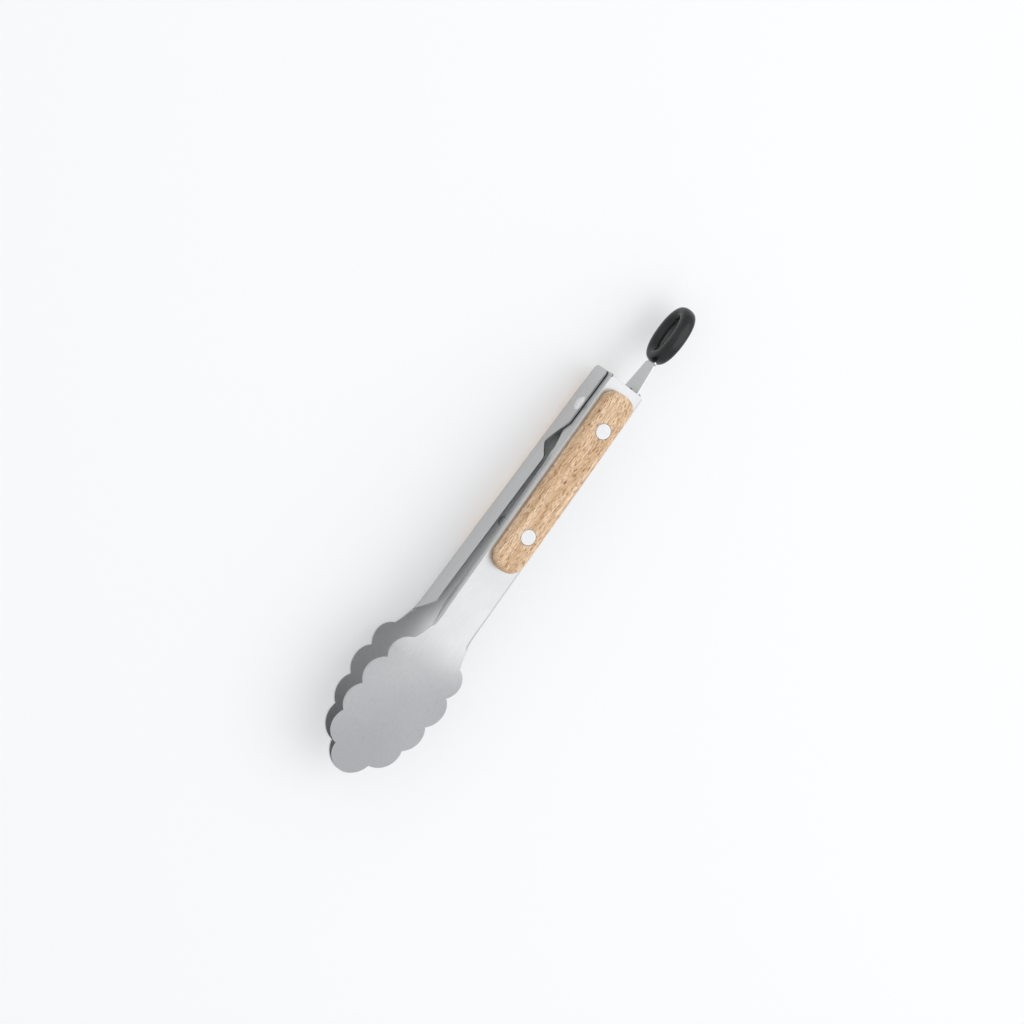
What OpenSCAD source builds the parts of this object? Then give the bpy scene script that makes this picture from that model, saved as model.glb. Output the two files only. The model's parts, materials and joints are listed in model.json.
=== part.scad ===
// Spring loaded kitchen tongs: two pressed sheet-steel arms with wooden handle scales,
// hinged on a riveted pin, pushed apart by a torsion spring and held shut by a sliding
// lock tab with a rubber pull ring. They lie on the lower handle scale, locked shut.
// The origin is on the resting plane, straight below the pin; the ring points along +X.

/* [Arms] */
// Length of an arm, from the tip of its head to the end of its web
arm_len = 228.6; // [190:0.1:320]
// Width of the web, over both flanges
web_w = 21.4; // [19:0.1:28]
// Thickness of the sheet steel
sheet_t = 0.9; // [0.7:0.05:1.2]
// Depth of the flanges along the middle of an arm
flange_depth = 10; // [6:0.1:10.5]
// Distance from the end of the web to where the flanges reach that depth
flange_from_end = 49.9; // [46:0.1:60]
// Distance from the flared neck to where the flanges start to taper off
flange_short = 3; // [1:0.1:10]
// Length over which the flanges taper off into the neck
flange_taper = 11; // [6:0.1:16]
// How far the flanges lean towards each other
flange_lean = 16; // [0:1:20]

/* [Pivot] */
// Distance from the end of the web to the pin
pin_from_end = 19.3; // [16:0.1:26]
// Height of the pin above the outer face of the web
pin_h = 11; // [10:0.1:14]
// Diameter of the pin
pin_d = 4; // [3:0.1:5]
// Diameter of the pin's two heads
pin_head_d = 7.8; // [6:0.1:8]
// Height of the domed head
pin_head_h = 1.4; // [0.8:0.1:2]
// Depth of an ear past the pin's axis
ear_past_pin = 3.5; // [3.4:0.1:5]
// How far the ears reach past the end of the web
ear_over = 1; // [0.2:0.1:2]
// Radius on the rear corners of the ears
ear_corner_r = 2.5; // [1:0.1:5]
// Distance from the end of the web to where an ear's deep part ends
ear_from_end = 29.4; // [25:0.1:36]
// Distance from the end of the web to the notch between an ear and a flange
notch_from_end = 43.7; // [38:0.1:45.5]
// Depth of metal left at the notch
notch_depth = 5; // [2:0.1:8]

/* [Head] */
// Width of the head over its widest lobes
head_w = 48.2; // [38:0.1:60]
// Radius of a lobe
lobe_r = 10.6; // [8:0.1:13]
// Radius of the lobe nearest the neck
neck_lobe_r = 9.6; // [7:0.1:12]
// Length from the middle of the head to the centre of the tip lobe
lobe_row = 35; // [26:0.1:45]
// Distance from the tip to where the web starts to widen
neck_from_tip = 89.6; // [75:0.1:100]
// Radius of the neck's concave flare
neck_flare_r = 39; // [25:1:60]
// Distance from the tip to where the web starts to bend inwards
bend_from_tip = 86; // [70:0.1:95]
// Length of the bend at the neck
bend_run = 24; // [12:0.1:30]
// Slope of the head just past the bend
neck_slope = 9; // [6:0.1:12]
// Slope of the head at its tip
tip_slope = 16.5; // [14:0.1:20]
// Gap left between the two tips when shut
tip_gap = 0.4; // [0.2:0.1:1]

/* [Handle] */
// Length of a wooden scale
scale_len = 102; // [70:0.1:104]
// Width of a scale
scale_w = 16.4; // [12:0.1:20]
// Thickness of a scale
scale_t = 7; // [4:0.1:9]
// Radius on a scale's outer edge
scale_edge_r = 2.4; // [0.5:0.1:3]
// Distance from the end of the web to the scale
scale_from_end = 4.6; // [2:0.1:10]
// Distance from each end of the scale to its rivet
rivet_inset = 20.1; // [10:0.1:24]
// Diameter of a rivet's flat head
rivet_head_d = 8; // [6:0.1:10]
// Thickness of a rivet's head
rivet_head_t = 1.2; // [0.8:0.1:2]
// Diameter of a rivet's shank
rivet_d = 4; // [3:0.1:5]
// Diameter of a rivet's rolled tail
rivet_tail_d = 5.8; // [5.4:0.1:8]
// Height of a rivet's rolled tail
rivet_tail_h = 0.8; // [0.5:0.1:1.5]
// Diameter of the hollow in a rivet's tail
rivet_hollow_d = 2.4; // [1:0.1:2.6]

/* [Spring] */
// Diameter of the spring wire
wire_d = 1.6; // [1:0.1:1.8]
// Mean diameter of the coil
coil_d = 8.4; // [7:0.1:9.5]
// Whole turns in the coil, besides the half turn between its legs
coil_turns = 7; // [3:1:7]
// Length of each leg
leg_len = 38; // [25:1:50]

/* [Lock] */
// Thickness of the lock tab
tab_t = 1; // [0.8:0.1:1.4]
// Gap between the tab's edge and a web's inner face, abreast of the pin
tab_edge_gap = 1.7; // [1.7:0.1:3]
// Width of the tab where it meets the ring
tab_neck_w = 10.3; // [8:0.1:10.6]
// Distance from the web end to the narrow end of the tab
tab_reach = 16.6; // [14.5:0.1:22]
// How far the tab reaches past the pin, towards the heads
tab_tail = 6; // [4:0.1:12]
// Length of the slot for the pin, between the centres of its round ends
slot_len = 18.3; // [14.2:0.1:19]
// Width of the root that is moulded into the ring
tab_root_w = 8; // [5:0.1:9]

/* [Ring] */
// Length of the pull ring
ring_len = 31.3; // [24:0.1:40]
// Width of the pull ring
ring_w = 22.4; // [18:0.1:28]
// Width of the ring's rim, seen from the side
rim_w = 6.7; // [4:0.1:8]
// Thickness of the ring
ring_t = 7.8; // [5:0.1:9]
// Radius on the corners of the rim
rim_r = 3; // [1:0.1:3.2]
// Gap between the narrow end of the tab and the ring
ring_gap = 0.6; // [0.2:0.1:3]

/* [Clearances] */
// Radial gap of a turning fit on the pin
run_gap = 0.05; // [0.01:0.01:0.1]
// Gap all round a rivet or the tab's end in its seat
seat_gap = 0.03; // [0.01:0.01:0.1]
// Sideways gap between an ear, the next ear and the tab
side_gap = 0.3; // [0.2:0.05:0.5]
// Gap between the pin and the tab's slot
slot_gap = 0.3; // [0.1:0.05:0.5]
// Gap between a spring leg and the web that it bears on
leg_gap = 0.1; // [0.05:0.05:0.3]

/* [Hidden] */
$fn = 64;

steel = "silver";
bright_steel = "gainsboro";
oak = "burlywood";
rubber = [0.12, 0.12, 0.12];

// Places along the arm, measured from the pin; the heads lie towards -X
web_end_x = pin_from_end;
tip_x = web_end_x - arm_len;
neck_x = tip_x + neck_from_tip;
bend_x = tip_x + bend_from_tip;
lobe_mid_x = tip_x + lobe_r + lobe_row;

// The ears run back to a sloping cut, whose shallow end starts the flanges
ear_depth = pin_h + ear_past_pin;
ear_slope_x = web_end_x - ear_from_end;
notch_x = web_end_x - notch_from_end;
flange_full_x = web_end_x - flange_from_end;
flange_taper_x = neck_x + flange_short;
flange_gone_x = flange_taper_x - flange_taper;
flange_top_z = 2 * flange_depth;

// The bend and the head are two arcs, which meet at the neck slope
bend_r = bend_run / sin(neck_slope);
head_r = (bend_x - bend_run - tip_x) / (sin(tip_slope) - sin(neck_slope));
bend_steps = 6;
head_steps = 10;
head_rise = bend_r * (1 - cos(neck_slope)) + head_r * (cos(neck_slope) - cos(tip_slope));
tip_z = sheet_t - pin_h + head_rise;
// Half of the angle between the two webs when the tips meet
half_angle = atan((tip_z + tip_gap / 2) / -tip_x);

// Lobes lie on half an ellipse, listed by their angle from the tip
lobe_angles = [0, 43, 68.5, 94, 120];
lobe_col_r = head_w / 2 - lobe_r;
function lobe_at(a) = [lobe_mid_x - lobe_row * cos(a), lobe_col_r * sin(a)];
function lobe_radius(a) = a == lobe_angles[4] ? neck_lobe_r : lobe_r;
// The flare of the neck ends just inside the first lobe, at this share of its radius
flare_reach = 0.9;
flare_x = lobe_at(lobe_angles[4])[0] + flare_reach * neck_lobe_r;

// Rows across the tongs, from the outside in; the lock tab lies on the -Y side
ear_inset = sheet_t + side_gap;
inner_ear_y = web_w / 2 - ear_inset - sheet_t;
tab_y = side_gap - inner_ear_y;
tab_mid_y = tab_y + tab_t / 2;

scale_rear_x = web_end_x - scale_from_end;
scale_front_x = scale_rear_x - scale_len;
rear_rivet_x = scale_rear_x - rivet_inset;
front_rivet_x = scale_front_x + rivet_inset;

tab_w = 2 * (pin_h - sheet_t - tab_edge_gap);
tab_neck_x = web_end_x + tab_reach;
tab_corner_r = 2;
ring_near_x = tab_neck_x + ring_gap;
ring_mid_x = ring_near_x + ring_len / 2;
rim_mid_r = (ring_w - rim_w) / 2;
ring_half_run = (ring_len - ring_w) / 2;
// The tab's root stops short of the hole in the ring, at this share of the rim
root_share = 0.7;
tab_root_x = ring_near_x + root_share * rim_w;

lift = pin_h + scale_t;

// ---- Placing: everything is drawn with the pin axis at the origin ----

// Lifts a piece so that the lower scale's face is at zero height
module at_rest() { translate([0, 0, lift]) children(); }

// Turns a piece drawn level into the plane midway between the arms
module on_middle() { at_rest() rotate([0, half_angle, 0]) children(); }

// Turns a piece of the lower half over into its place on the upper half
module on_upper() { at_rest() rotate([0, 2 * half_angle, 0]) mirror([0, 0, 1]) children(); }

// A plate with a side-view outline, from y to y + t
module side_plate(y, t) {
    translate([0, y + t, 0]) rotate([90, 0, 0]) linear_extrude(t) children();
}

// A bar with an end-view outline, from x0 to x1
module along_x(x0, x1) {
    translate([x0, 0, 0]) rotate([90, 0, 90]) linear_extrude(x1 - x0) children();
}

// A cylinder across the tongs, centred on the middle
module cross_cylinder(d, len) { rotate([90, 0, 0]) cylinder(d = d, h = len, center = true); }

// ---- Arms ----

// Points of the sheet's side view, offset outwards from its outer face by d
function bend_points(d) = [for (i = [0 : bend_steps])
    let (a = neck_slope * i / bend_steps)
    [bend_x - (bend_r - d) * sin(a), bend_r - (bend_r - d) * cos(a) - pin_h]];
function head_points(d) = [for (i = [1 : head_steps])
    let (a = neck_slope + (tip_slope - neck_slope) * i / head_steps,
         x0 = bend_x - (bend_r - head_r) * sin(neck_slope),
         z0 = bend_r - (bend_r - head_r) * cos(neck_slope) - pin_h)
    [x0 - (head_r - d) * sin(a), z0 - (head_r - d) * cos(a)]];
function sheet_points(d) = concat([[web_end_x, d - pin_h]], bend_points(d), head_points(d));
function reversed(p) = [for (i = [len(p) - 1 : -1 : 0]) p[i]];

// Side view of the web and the head
module sheet_side() { polygon(concat(sheet_points(0), reversed(sheet_points(sheet_t)))); }

// Outline of the web, the neck and the lobed head, seen from above
module arm_plan() {
    lobes = [for (a = lobe_angles) lobe_at(a)];
    far_lobes = [for (p = reversed(lobes)) [p[0], -p[1]]];
    neck = [[neck_x, web_w / 2], [neck_x, -web_w / 2]];
    translate([neck_x, -web_w / 2]) square([web_end_x - neck_x, web_w]);
    polygon(concat(lobes, neck, far_lobes));
    for (a = lobe_angles, side = [-1, 1])
        translate([lobe_at(a)[0], side * lobe_at(a)[1]]) circle(lobe_radius(a));
    difference() {
        translate([flare_x, -head_w / 2]) square([neck_x - flare_x, head_w]);
        for (side = [-1, 1])
            translate([neck_x, side * (web_w / 2 + neck_flare_r)]) circle(neck_flare_r, $fn = 128);
    }
}

// Side view of an ear, with its round rear corners and its sloping front
module ear_side() {
    corner_x = web_end_x + ear_over - ear_corner_r;
    translate([0, -pin_h]) {
        polygon([[corner_x, 0], [corner_x, ear_depth], [ear_slope_x, ear_depth],
                 [notch_x, notch_depth], [notch_x, 0]]);
        translate([corner_x, ear_corner_r])
            square([ear_corner_r, ear_depth - 2 * ear_corner_r]);
        for (z = [ear_corner_r, ear_depth - ear_corner_r])
            translate([corner_x, z]) circle(ear_corner_r);
    }
}

// Side view of the flanges that stiffen the middle of an arm
module flange_side() {
    translate([0, -pin_h])
        polygon([[notch_x, 0], [notch_x, notch_depth], [flange_full_x, flange_depth],
                 [flange_taper_x, flange_depth], [flange_gone_x, 0]]);
}

// End view of the flanges, which lean inwards from the edges of the web
module flange_end() {
    lean = tan(flange_lean);
    wall = sheet_t / cos(flange_lean);
    half = web_w / 2;
    translate([0, -pin_h]) difference() {
        polygon([[-half, 0], [half, 0], [half - flange_top_z * lean, flange_top_z],
                 [flange_top_z * lean - half, flange_top_z]]);
        polygon([[wall + sheet_t * lean - half, sheet_t], [half - wall - sheet_t * lean, sheet_t],
                 [half - wall - flange_top_z * lean - lean, flange_top_z + 1],
                 [flange_top_z * lean + lean + wall - half, flange_top_z + 1]]);
    }
}

// One arm, drawn as the lower one; inset moves its ears in, pin_hole is their bore
module arm(inset, pin_hole) {
    difference() {
        union() {
            intersection() {
                side_plate(-head_w, 2 * head_w) sheet_side();
                translate([0, 0, -pin_h - 1]) linear_extrude(head_rise + pin_h) arm_plan();
            }
            intersection() {
                along_x(flange_gone_x, notch_x) flange_end();
                side_plate(-web_w, 2 * web_w) flange_side();
            }
            side_plate(web_w / 2 - inset - sheet_t, sheet_t) ear_side();
            side_plate(inset - web_w / 2, sheet_t) ear_side();
        }
        cross_cylinder(pin_hole, 2 * web_w);
        for (x = [rear_rivet_x, front_rivet_x])
            translate([x, 0, -pin_h - 1]) cylinder(d = rivet_d + 2 * seat_gap, h = sheet_t + 2);
    }
}

module lower_arm() { color(steel) at_rest() arm(0, pin_d + 2 * seat_gap); }

module upper_arm() { color(steel) on_upper() arm(ear_inset, pin_d + 2 * run_gap); }

// ---- Handle ----

// Half of a scale's end view: flat inside face, rounded outer edge
module scale_half_end() {
    half = scale_w / 2;
    translate([0, scale_edge_r]) square([half, scale_t - scale_edge_r]);
    square([half - scale_edge_r, scale_t]);
    translate([half - scale_edge_r, scale_edge_r]) circle(scale_edge_r);
}

// A wooden scale with round ends and two counterbored rivet holes
module scale_solid() {
    half = scale_w / 2;
    translate([0, 0, -pin_h - scale_t]) difference() {
        union() {
            along_x(scale_front_x + half, scale_rear_x - half) {
                scale_half_end();
                mirror([1, 0]) scale_half_end();
            }
            for (x = [scale_front_x + half, scale_rear_x - half])
                translate([x, 0, 0]) rotate_extrude() scale_half_end();
        }
        for (x = [rear_rivet_x, front_rivet_x]) translate([x, 0, 0]) {
            translate([0, 0, -1]) cylinder(d = rivet_d + 2 * seat_gap, h = scale_t + 2);
            translate([0, 0, -1]) cylinder(d = rivet_head_d + 2 * seat_gap, h = 1 + rivet_head_t);
        }
    }
}

module lower_handle_scale() { color(oak) at_rest() scale_solid(); }

module upper_handle_scale() { color(oak) on_upper() scale_solid(); }

// A flush rivet: flat head in the wood, shank through the web, rolled hollow tail
module rivet(x) {
    translate([x, 0, -pin_h - scale_t]) difference() {
        union() {
            cylinder(d = rivet_head_d, h = rivet_head_t);
            cylinder(d = rivet_d, h = scale_t + sheet_t + rivet_tail_h);
            translate([0, 0, scale_t + sheet_t]) cylinder(d = rivet_tail_d, h = rivet_tail_h);
        }
        translate([0, 0, scale_t - 2]) cylinder(d = rivet_hollow_d, h = sheet_t + rivet_tail_h + 3);
    }
}

module lower_rear_rivet() { color(bright_steel) at_rest() rivet(rear_rivet_x); }

module lower_front_rivet() { color(bright_steel) at_rest() rivet(front_rivet_x); }

module upper_rear_rivet() { color(bright_steel) on_upper() rivet(rear_rivet_x); }

module upper_front_rivet() { color(bright_steel) on_upper() rivet(front_rivet_x); }

// ---- Pivot ----

// A domed rivet head on a disc of the head's diameter
module dome(h) {
    ball_r = (pin_head_d * pin_head_d / 4 + h * h) / (2 * h);
    intersection() {
        translate([0, 0, h - ball_r]) sphere(ball_r);
        cylinder(d = pin_head_d, h = h);
    }
}

// The pin is riveted over outside the lower arm's ears
module pivot_pin() {
    color(bright_steel) at_rest() {
        cross_cylinder(pin_d, web_w);
        for (side = [-1, 1])
            translate([0, side * web_w / 2, 0]) rotate([side * -90, 0, 0]) dome(pin_head_h);
    }
}

// ---- Spring ----

wire_sides = 8;
turn_steps = 16;
coil_r = coil_d / 2;
coil_start_y = tab_y + tab_t + side_gap + wire_d / 2;
coil_end_y = inner_ear_y - side_gap - wire_d / 2;
// Depth of the web's inner face below the middle plane, where a leg ends
leg_web_z = (pin_h - sheet_t) / cos(half_angle) + leg_len * tan(half_angle);
leg_slope = asin((leg_web_z - wire_d / 2 - leg_gap - coil_r) / leg_len);
coil_from = leg_slope - 90;
coil_sweep = 360 * coil_turns + 180 - 2 * leg_slope;
coil_count = ceil(coil_sweep / 360 * turn_steps);

// Each ring of the wire is [x, y, z, angle of its outward direction]
function leg_ring(a, y, side) = [coil_r * cos(a) - leg_len * cos(leg_slope), y,
                                 coil_r * sin(a) + side * leg_len * sin(leg_slope), a];
coil_rings = [for (i = [0 : coil_count])
    let (a = coil_from + coil_sweep * i / coil_count,
         y = coil_start_y + (coil_end_y - coil_start_y) * i / coil_count)
    [coil_r * cos(a), y, coil_r * sin(a), a]];
wire_rings = concat([leg_ring(coil_from, coil_start_y, -1)], coil_rings,
                    [leg_ring(coil_from + coil_sweep, coil_end_y, 1)]);
function wire_ring(c) = [for (k = [0 : wire_sides - 1])
    let (b = 360 * k / wire_sides, out = wire_d / 2 * cos(b))
    [c[0] + out * cos(c[3]), c[1] + wire_d / 2 * sin(b), c[2] + out * sin(c[3])]];

// One length of wire: a leg on the lower web, the coil round the pin, a leg on the upper web
module torsion_spring() {
    n = wire_sides;
    last = len(wire_rings) - 1;
    points = [for (c = wire_rings) for (p = wire_ring(c)) p];
    skin = [for (r = [0 : last - 1], k = [0 : n - 1])
        [r * n + k, r * n + (k + 1) % n, (r + 1) * n + (k + 1) % n, (r + 1) * n + k]];
    ends = [[for (k = [0 : n - 1]) n - 1 - k], [for (k = [0 : n - 1]) last * n + k]];
    color(bright_steel) on_middle() polyhedron(points, concat(skin, ends));
}

// ---- Lock ----

// Side view of the tab: a wide block, a taper out to the ring and a narrow root inside it
module tab_side() {
    half = tab_w / 2;
    corner_x = tab_corner_r - tab_tail;
    polygon([[corner_x, -half], [web_end_x, -half], [tab_neck_x, -tab_neck_w / 2],
             [tab_neck_x, tab_neck_w / 2], [web_end_x, half], [corner_x, half]]);
    translate([-tab_tail, tab_corner_r - half]) square([tab_corner_r, tab_w - 2 * tab_corner_r]);
    for (side = [-1, 1])
        translate([corner_x, side * (half - tab_corner_r)]) circle(tab_corner_r);
    translate([web_end_x, -tab_root_w / 2]) square([tab_root_x - web_end_x, tab_root_w]);
}

// A flat steel plate beside the upper arm's ear on the -Y side, slotted for the pin
module lock_tab() {
    slot_d = pin_d + 2 * slot_gap;
    color(steel) on_middle() difference() {
        side_plate(tab_y, tab_t) tab_side();
        translate([0, tab_mid_y, 0]) cross_cylinder(slot_d, 3 * tab_t);
        translate([slot_len, tab_mid_y, 0]) cross_cylinder(slot_d, 3 * tab_t);
        translate([0, tab_mid_y - 1.5 * tab_t, -slot_d / 2]) cube([slot_len, 3 * tab_t, slot_d]);
    }
}

// Section of the ring's rim, centred on its middle
module rim_section() {
    square([rim_w - 2 * rim_r, ring_t], center = true);
    square([rim_w, ring_t - 2 * rim_r], center = true);
    for (sx = [-1, 1], sy = [-1, 1])
        translate([sx * (rim_w / 2 - rim_r), sy * (ring_t / 2 - rim_r)]) circle(rim_r, $fn = 32);
}

// An oval pull ring: two half rings joined by straight sides, moulded round the tab's root
module ring_grip() {
    color(rubber) on_middle() difference() {
        translate([ring_mid_x, tab_mid_y, 0]) {
            for (side = [-1, 1])
                translate([side * ring_half_run, 0, 0]) rotate([90, side * 90, 0])
                    rotate_extrude(angle = 180) translate([rim_mid_r, 0]) rim_section();
            for (side = [-1, 1])
                translate([0, 0, side * rim_mid_r]) along_x(-ring_half_run, ring_half_run)
                    rotate(90) rim_section();
        }
        translate([tab_neck_x - 1, tab_y - seat_gap, -tab_root_w / 2 - seat_gap])
            cube([tab_root_x - tab_neck_x + 1 + seat_gap, tab_t + 2 * seat_gap,
                  tab_root_w + 2 * seat_gap]);
    }
}

lower_arm();
upper_arm();
lower_handle_scale();
upper_handle_scale();
lower_rear_rivet();
lower_front_rivet();
upper_rear_rivet();
upper_front_rivet();
pivot_pin();
torsion_spring();
lock_tab();
ring_grip();
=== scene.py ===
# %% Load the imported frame
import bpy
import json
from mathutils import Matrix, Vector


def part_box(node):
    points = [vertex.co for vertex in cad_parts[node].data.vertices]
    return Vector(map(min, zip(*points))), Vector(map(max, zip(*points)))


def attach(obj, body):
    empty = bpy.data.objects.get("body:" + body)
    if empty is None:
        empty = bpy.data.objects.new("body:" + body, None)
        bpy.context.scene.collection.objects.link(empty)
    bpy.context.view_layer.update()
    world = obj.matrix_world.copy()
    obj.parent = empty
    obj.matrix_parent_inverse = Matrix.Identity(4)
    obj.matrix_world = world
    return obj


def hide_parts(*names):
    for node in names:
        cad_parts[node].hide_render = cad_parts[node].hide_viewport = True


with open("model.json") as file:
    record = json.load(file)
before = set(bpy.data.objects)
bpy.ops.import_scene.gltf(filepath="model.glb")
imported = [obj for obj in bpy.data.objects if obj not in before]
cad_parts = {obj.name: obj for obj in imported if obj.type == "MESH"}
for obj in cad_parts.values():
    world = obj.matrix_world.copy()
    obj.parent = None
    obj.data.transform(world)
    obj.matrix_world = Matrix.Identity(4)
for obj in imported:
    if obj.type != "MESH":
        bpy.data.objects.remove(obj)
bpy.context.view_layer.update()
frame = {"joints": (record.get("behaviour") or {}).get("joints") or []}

# %% [markdown]
# # Spring loaded kitchen tongs
# The tongs are two pressed steel arms that turn on a riveted pin. A wooden scale is riveted to
# each arm, a torsion spring inside pushes the arms apart, and a slotted steel tab with a rubber
# pull ring locks them shut. This lesson builds each of those pieces as a surface worked out by
# formula, gives it a finish made of shader nodes, and hangs it on the body it moves with.

# %% Tools and units
import json
import bmesh
import bpy
import numpy as np
from mathutils import Matrix, Vector

MM = 0.001
joints = {joint["name"]: joint for joint in frame["joints"]}
pin_z = joints["arm_open"]["pos_m"][2]
slide_axis = joints["lock_slide"]["axis"]
half_angle = np.arctan2(-slide_axis[2], slide_axis[0])
print("pin axis", pin_z, "m up; each arm leans", round(np.degrees(half_angle), 2), "degrees")

# %% [markdown]
# ## Three ways to place a piece
# Every piece is drawn with the pin's axis at the origin and the lower arm level. A lower piece is
# then only lifted. An upper piece is the same drawing turned over, which is a mirror in the
# level plane, and tilted by the whole angle between the arms. What lies midway, the spring and
# the lock, is tilted by half of it. Drawing once and placing three ways keeps both halves alike.

# %% Placing
def tilted(points, angle):
    """Turns points about the pin: x and z mix by the cosine and the sine of the angle."""
    x, y, z = points[..., 0], points[..., 1], points[..., 2]
    return np.stack([x * np.cos(angle) + z * np.sin(angle), y,
                     z * np.cos(angle) - x * np.sin(angle) + pin_z], -1)


def on_lower(points):
    """Lower half: lifted so that the pin's axis is at its height."""
    return tilted(points, 0.0)


def on_upper(points):
    """Upper half: z turned over, then tilted by the whole angle between the arms."""
    return tilted(points * [1, 1, -1], 2 * half_angle)


def on_middle(points):
    """Spring and lock: tilted by half of the angle between the arms."""
    return tilted(points, half_angle)


print("the upper half is tilted by", round(np.degrees(2 * half_angle), 2), "degrees")

# %% [markdown]
# ## From point grids to a mesh
# A surface with two parameters is a grid of points. Neighbouring rows and columns give the faces,
# and the distances along the rows and columns give a texture map in real metres, so scratches
# and brush marks keep their size. Grids that share an edge are welded, which closes seams and
# poles, and the faces are then all turned outwards.

# %% Grids
def quads(rows, cols):
    """Corner numbers of the faces between neighbouring rows and columns of a grid."""
    a, b = np.meshgrid(np.arange(rows - 1), np.arange(cols - 1), indexing="ij")
    first = (a * cols + b).ravel()
    return np.stack([first, first + 1, first + cols + 1, first + cols], 1)


def travelled(grid, axis):
    """Distance covered from the grid's first row or column to each point."""
    step = np.linalg.norm(np.diff(grid, axis=axis), axis=2)
    start = np.zeros_like(step[:1] if axis == 0 else step[:, :1])
    return np.concatenate([start, np.cumsum(step, axis)], axis)


print("a grid of 3 by 4 points has", len(quads(3, 4)), "faces")

# %% [markdown]
# Points closer than the welding distance become one. It is far smaller than any detail, so it
# joins only edges that two grids share and the points of a pole.

# %% Welded mesh
weld = 0.0005 * MM


def make_mesh(name, grids):
    """Welds point grids into one closed mesh with a texture map in metres."""
    points = np.concatenate([g.reshape(-1, 3) for g in grids])
    starts = np.cumsum([0] + [g.shape[0] * g.shape[1] for g in grids])
    faces = np.concatenate([quads(*g.shape[:2]) + s for g, s in zip(grids, starts)])
    chart = np.concatenate([np.stack([travelled(g, 1), travelled(g, 0)], 2).reshape(-1, 2)
                            for g in grids])
    mesh = bpy.data.meshes.new(name)
    mesh.from_pydata(points.tolist(), [], faces.tolist())
    layer = mesh.uv_layers.new(name="metres")
    layer.data.foreach_set("uv", chart[faces.ravel()].astype(np.float32).ravel())
    work = bmesh.new()
    work.from_mesh(mesh)
    bmesh.ops.remove_doubles(work, verts=work.verts, dist=weld)
    bmesh.ops.dissolve_degenerate(work, edges=work.edges, dist=weld)
    bmesh.ops.recalc_face_normals(work, faces=work.faces)
    work.to_mesh(mesh)
    work.free()
    mesh.shade_smooth()
    return mesh


print("welding distance", round(weld / MM, 4), "mm")

# %% [markdown]
# A finished piece stays at the origin with its place in its mesh. It rides on the body it moves
# with, says which kind of material it is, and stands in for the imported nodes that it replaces.

# %% Adding a piece
def add_piece(name, grids, finish, body, nodes=()):
    """Makes an object of the grids, gives it its finish, and hangs it on its body."""
    piece = bpy.data.objects.new(name, make_mesh(name, grids))
    bpy.context.scene.collection.objects.link(piece)
    piece.data.materials.append(finish)
    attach(piece, body)
    if nodes:
        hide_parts(*nodes)
    print(name, len(piece.data.polygons), "faces on", body)
    return piece


# %% [markdown]
# Two formulas come back throughout: a step without corners, and a profile turned about an axis.

# %% Soft step and turned profile
def smooth(x):
    """A soft step from 0 to 1: 3x squared less 2x cubed, held at both ends."""
    x = np.clip(x, 0, 1)
    return x * x * (3 - 2 * x)


def revolved(profile, steps=64):
    """Turns a profile of (radius, height) rows about the height axis: the last axis is z."""
    turn = np.linspace(0, 2 * np.pi, steps + 1)
    r, h = profile[:, :1], profile[:, 1:]
    return np.stack([r * np.cos(turn), r * np.sin(turn), h + 0 * turn], 2)


print("soft step at a quarter, a half and three quarters:", smooth(np.array([0.25, 0.5, 0.75])))

# %% [markdown]
# ## Finishes
# A shader is a small network. This helper adds one node, sets what is asked, and plugs in what
# comes from other nodes, so that each finish below reads as a short recipe.

# %% Nodes
def new_finish(name, **fixed):
    """A material whose constant values are set on its own shader."""
    finish = bpy.data.materials.new(name)
    finish.use_nodes = True
    shader = finish.node_tree.nodes["Principled BSDF"]
    for socket, value in fixed.items():
        shader.inputs[socket.replace("_", " ")].default_value = value
    return finish.node_tree, shader, finish


def add_node(tree, kind, links=(), **values):
    """Adds a node; a value goes to a setting or to a socket, a link brings another's output."""
    item = tree.nodes.new("ShaderNode" + kind)
    for key, value in values.items():
        if hasattr(item, key):
            setattr(item, key, value)
        else:
            item.inputs[key.replace("_", " ")].default_value = value
    for socket, source in dict(links).items():
        tree.links.new(source, item.inputs[socket])
    return item


print("a finish is built with new_finish and add_node")

# %% [markdown]
# Most detail on steel, wood and rubber is noise, drawn out along the way the surface was worked
# or grew. A ramp then turns the noise into a colour or a roughness, and a bump node into relief.

# %% Noise, ramps and relief
middle = (0.3, 0.7)


def add_ramp(tree, source, low, high, dark, light):
    """Maps the stretch from low to high of a value onto two colours."""
    ramp = add_node(tree, "ValToRGB", {"Fac": source})
    ends = ramp.color_ramp.elements
    ends[0].position, ends[1].position = low, high
    ends[0].color, ends[1].color = (*dark, 1), (*light, 1)
    return ramp.outputs["Color"]


def grey(value):
    """A neutral colour."""
    return (value, value, value)


def streaks(tree, where, stretch, detail=3.0, rough=0.6):
    """Noise drawn out along one way: the pattern's cells are 1/stretch metres long."""
    spread = add_node(tree, "Mapping", {"Vector": where}, Scale=stretch)
    noise = add_node(tree, "TexNoise", {"Vector": spread.outputs["Vector"]}, Scale=1.0,
                     Detail=detail, Roughness=rough)
    return noise.outputs["Fac"]


def raise_bumps(tree, shader, height, depth, strength=1.0):
    """Tilts the shading as if the surface rose by depth metres where height is 1."""
    bump = add_node(tree, "Bump", {"Height": height}, Strength=strength, Distance=depth)
    tree.links.new(bump.outputs["Normal"], shader.inputs["Normal"])


print("most ramps use the noise from", middle[0], "to", middle[1])

# %% [markdown]
# ### Satin steel
# Stainless sheet for utensils is brushed along its length before it is pressed. The belt leaves
# scratches centimetres long and a fraction of a millimetre wide, which spread a reflection
# across the arm. Noise stretched along the arm makes them. A second, broad noise stands for the
# faint clouding that handling and washing leave. The steel's own colour is a middle grey: what
# looks white on it is the soft box that it mirrors.

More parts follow.
